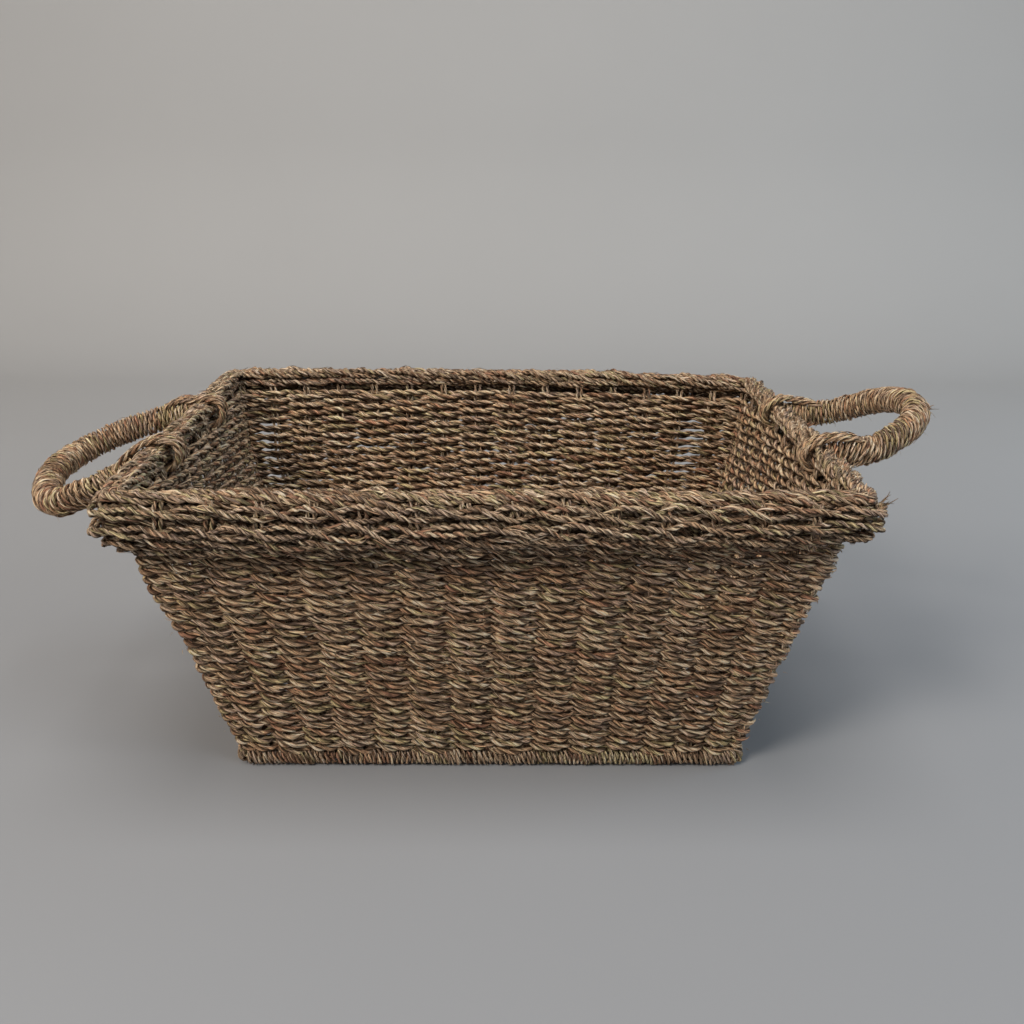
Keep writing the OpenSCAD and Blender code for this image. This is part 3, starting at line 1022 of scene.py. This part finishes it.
def handle(side):
    body = side + "_handle"
    path, (run, u, v) = handle_line(side)
    strands = Strands()
    wound(strands, path, run, u, v, WRAP_RADIUS, WRAP_PITCH, WRAP_CORD, 2.4, False,
          twist=-1.0 if side == "left" else 1.0, taper=16.0, loose=5.0)
    strands.make(side + "_handle_winding", handle_grass, body,
                 [side + "_handle_wrap"])
    core = Strands()
    for angle in np.arange(5) * TAU / 5:
        centre = path[4:-4] + CORE_RING * (np.cos(angle) * u[4:-4] + np.sin(angle) * v[4:-4])
        two_ply(core, centre, u[4:-4], v[4:-4], CORE_CORD, CORE_CORD, False, CORE_LAY, sides=5,
                loose=0)
    two_ply(core, path, u, v, 1.9, 1.9, False, CORE_LAY, sides=5, loose=0)
    core.make(side + "_handle_core_cords", stake_grass, body,
              [side + "_handle_core"])
    for name, sign in (("front", -1), ("back", 1)):
        lashing(side, name, sign)


# The loop round the roll: out from the roll's axis, and up
LASH_LOOP = [(-9.4, 3.4), (-8.8, -3.5), (-4.5, -8.2), (1.5, -9.0)]
# Along the leg: out from the roll's axis, and how far over or under the leg's middle line
LASH_OVER = [(29, 4.0), (22, 7.8), (14, 9.4)]
LASH_UNDER = [(10, 7.5), (20, 6.5), (29, 4.5)]
LASH_CLOSE = 0.008       # share by which the cords close up for each mm along the leg


def lashing(side, name, sign):
    """Cords that come out of the leg, loop round the rim roll and go back into it."""
    origin, outward, across, lift = handle_frame(side)
    leg = np.array(HANDLE_KNOTS[side][:4] if sign < 0 else HANDLE_KNOTS[side][:-5:-1])

    def beside_leg(a):
        return np.interp(a, leg[:, 0], leg[:, 1]), np.interp(a, leg[:, 0], leg[:, 2])

    strands = Strands()
    for k in range(LASH_COUNT):
        place = (k - (LASH_COUNT - 1) / 2) * 2 * LASH_CORD * 0.98
        high = 9.6 + rng.uniform(-0.4, 0.6)
        knots = []
        for a, above in LASH_OVER:
            y, c = beside_leg(a)
            knots.append((a, y + place * (1 - LASH_CLOSE * a), c + above))
        for a, c in [(5, high), (-3.5, high - 1.4)] + LASH_LOOP:
            knots.append((a, sign * LASH_Y + place, c))
        for a, below in LASH_UNDER:
            y, c = beside_leg(a)
            knots.append((a, y + place * (1 - LASH_CLOSE * a), c - below))
        knots = [origin + outward * a + across * b + lift * c for a, b, c in knots]
        path = smooth_path(knots, 1.2)
        _, u, v = path_frames(path, across)
        two_ply(strands, path, u, v, LASH_CORD, LASH_CORD, False, LASH_LAY, loose=3.0)
    node = "%s_%s_lashing" % (side, name)
    strands.make(node + "_cords", handle_grass, side + "_handle", [node])


# ---------------------------------------------------------------- loose fibres
def hair(strands, root, direction, length, radius, droop=0.3, dark=False):
    """One thin fibre that sticks out, sways to a side and droops."""
    n = 7
    t = np.linspace(0, 1, n)[:, None]
    sway = unit(rng.normal(size=3))
    path = root + direction * length * t + sway * length * 0.35 * t ** 2
    path = path - np.array([0, 0, 1.0]) * length * droop * t ** 2
    _, u, v = path_frames(path, unit(rng.normal(size=3)))
    thin = radius * (1 - 0.75 * t[:, 0])
    value = 0.0 if dark else rng.uniform(0.4, 1.0)
    strands.tube(path, u, v, thin, thin, False, rng.uniform(0.3, 0.9), value, 3)


def tuft(strands, root, direction, count, length):
    """Cut ends of leaves that stick out together."""
    for _ in range(count):
        start = np.array(root) + rng.normal(0, 1.0, 3)
        aim = unit(np.array(direction) + rng.normal(0, 0.3, 3))
        hair(strands, start, aim, length * rng.uniform(0.6, 1.1), rng.uniform(0.35, 0.6), 0.05,
             dark=rng.uniform() < 0.5)


# Hairs round the basket: height, out from the roll or from the wall, how many, how long
HAIRS = [(155, 4, 110, 5), (166, 12.5, 120, 4), (181, 8, 120, 5), (90, 0, 200, 4), (30, 0, 110, 3.5),
         (8, 6, 40, 3)]
CUFF_LOW = 150           # the rim's cuff is above this height
HANDLE_HAIRS = 70
HANDLE_OUT = 8.2         # where a hair starts on a handle, from its middle line


def basket_fibres():
    strands = Strands()
    half_x, half_y = ROLL_HALF
    tuft(strands, (half_x + 8, -half_y - 4, ROLL_Z + 1), (0.75, -0.2, 0.6), 8, 7)
    tuft(strands, (-half_x - 9, -half_y - 5, ROLL_Z + 1), (-0.6, -0.3, 0.5), 6, 5)
    for z, out, count, reach in HAIRS:
        on_rim = z > CUFF_LOW
        ring = rim_ring(out, z) if on_rim else Ring(stake_places(z), z, 2.0, CORNER, OUT_TILT)
        plain = np.nonzero(near_corner(ring.phase, 2.0) < (0.1 if on_rim else 2))[0]
        for i in rng.choice(plain, count):
            root = ring.centre[i] + ring.out[i] * (0 if on_rim else WALL_HALF - 0.4)
            if 20 < z < CUFF_LOW:
                root = root + ring.up[i] * rng.uniform(-20, 45)
            aim = unit(ring.out[i] * 0.8 + ring.run[i] * rng.normal(0, 0.8) + rng.normal(0, 0.3, 3))
            hair(strands, root, aim, rng.uniform(0.4, 1.0) * reach, rng.uniform(0.12, 0.28))
    strands.make("basket_loose_fibres", handle_grass, "basket")


def handle_fibres(side):
    path, (run, u, v) = handle_line(side)
    strands = Strands()
    for i in rng.integers(4, len(path) - 4, HANDLE_HAIRS):
        turn = rng.uniform(0, TAU)
        radial = math.cos(turn) * u[i] + math.sin(turn) * v[i]
        aim = unit(radial * 0.5 + run[i] * rng.choice([-1, 1]) + rng.normal(0, 0.4, 3))
        root = path[i] + radial * HANDLE_OUT
        hair(strands, root, aim, rng.uniform(2, 4.5), rng.uniform(0.12, 0.25))
    if side == "right":
        origin, outward, across, lift = handle_frame(side)
        aim = outward * 0.9 - across * 0.3 + lift * 0.3
        tuft(strands, origin + outward * 79 - across * 8, aim, 3, 9)
    strands.make(side + "_handle_loose_fibres", handle_grass, side + "_handle")


# ---------------------------------------------------------------- studio
SWEEP_FRONT = -2.0       # the floor runs from here to its bend, then curves up into the wall, in metres
SWEEP_BACK = 0.95
SWEEP_BEND = 0.35
SWEEP_TOP = 2.6
SWEEP_HALF = 3.0         # half its width
BEND_STEPS = 16

# Area lights: name, place, what it points at, size in metres, power in watts, colour
LIGHTS = [
    ("key", (-1.0, -1.3, 1.45), (0, 0, 0.1), 0.6, 24, (1.0, 0.93, 0.84)),
    ("fill", (1.5, -1.1, 1.1), (0.2, 0.1, 0.05), 1.3, 8.0, (0.74, 0.88, 1.0)),
    ("top", (0.0, -0.35, 1.85), (0, 0.15, 0), 1.0, 15, (1.0, 0.97, 0.93)),
    ("left", (-1.5, 0.1, 0.5), (-0.6, 0.0, 0), 0.7, 3.2, (1.0, 0.87, 0.74)),
    ("right", (1.5, 0.2, 0.5), (0.5, 0.0, 0), 0.7, 6.0, (0.66, 0.84, 1.0)),
]
AIR_COLOUR = (0.95, 0.97, 1.0, 1)
AIR_STRENGTH = 0.12

SENSOR = 36.0
LENS = 37.95
EYE = (0.00617, -0.65419, 0.35676)
YAW, PITCH, TURN = 0.0093, 0.3375, 0.0065      # radians to the right, down, and round its own axis


def sweep():
    """One sheet that is the floor, a bend and the wall behind."""
    profile = [(SWEEP_FRONT, 0.0), (SWEEP_BACK, 0.0)]
    for k in range(1, BEND_STEPS + 1):
        turn = math.pi / 2 * k / BEND_STEPS
        profile.append((SWEEP_BACK + SWEEP_BEND * math.sin(turn), SWEEP_BEND * (1 - math.cos(turn))))
    profile.append((SWEEP_BACK + SWEEP_BEND, SWEEP_TOP))
    corners = [(x, y, z) for y, z in profile for x in (-SWEEP_HALF, SWEEP_HALF)]
    faces = [(2 * k, 2 * k + 1, 2 * k + 3, 2 * k + 2) for k in range(len(profile) - 1)]
    mesh = bpy.data.meshes.new("studio_sweep")
    mesh.from_pydata(corners, [], faces)
    mesh.polygons.foreach_set("use_smooth", np.ones(len(faces), dtype=bool))
    mesh.materials.append(backdrop_paint("studio_pale"))
    link_object("studio_sweep", mesh)


def aim_at(thing, place, target):
    """Puts a light at its place, with its face turned towards the target."""
    heading = np.array(target, float) - np.array(place, float)
    thing.location = place
    turn = math.atan2(heading[1], heading[0]) - math.pi / 2
    drop = math.atan2(heading[2], math.hypot(heading[0], heading[1]))
    thing.rotation_euler = (math.pi / 2 + drop, 0, turn)


def area_light(name, place, target, size, power, colour):
    lamp = bpy.data.lights.new(name, "AREA")
    lamp.size = size
    lamp.energy = power
    lamp.color = colour
    aim_at(link_object(name, lamp), place, target)


def studio():
    sweep()
    for light in LIGHTS:
        area_light(*light)
    world = bpy.data.worlds.new("studio_air")
    world.use_nodes = True
    air = world.node_tree.nodes["Background"]
    air.inputs["Color"].default_value = AIR_COLOUR
    air.inputs["Strength"].default_value = AIR_STRENGTH
    bpy.context.scene.world = world


def camera():
    lens = bpy.data.cameras.new("camera")
    lens.sensor_width = SENSOR
    lens.lens = LENS
    eye = link_object("camera", lens)
    eye.location = EYE
    eye.rotation_mode = "XYZ"
    turned = (
        mathutils.Matrix.Rotation(-YAW, 3, "Z")
        @ mathutils.Matrix.Rotation(math.pi / 2 - PITCH, 3, "X")
        @ mathutils.Matrix.Rotation(TURN, 3, "Z")
    )
    eye.rotation_euler = turned.to_euler("XYZ")
    bpy.context.scene.camera = eye


bpy.context.scene.view_settings.view_transform = "Standard"
camera()
studio()
wires()
walls()
wall_stakes()
base_edge()
base_floor()
rim()
turned_stakes()
handle("left")
handle("right")
basket_fibres()
handle_fibres("left")
handle_fibres("right")
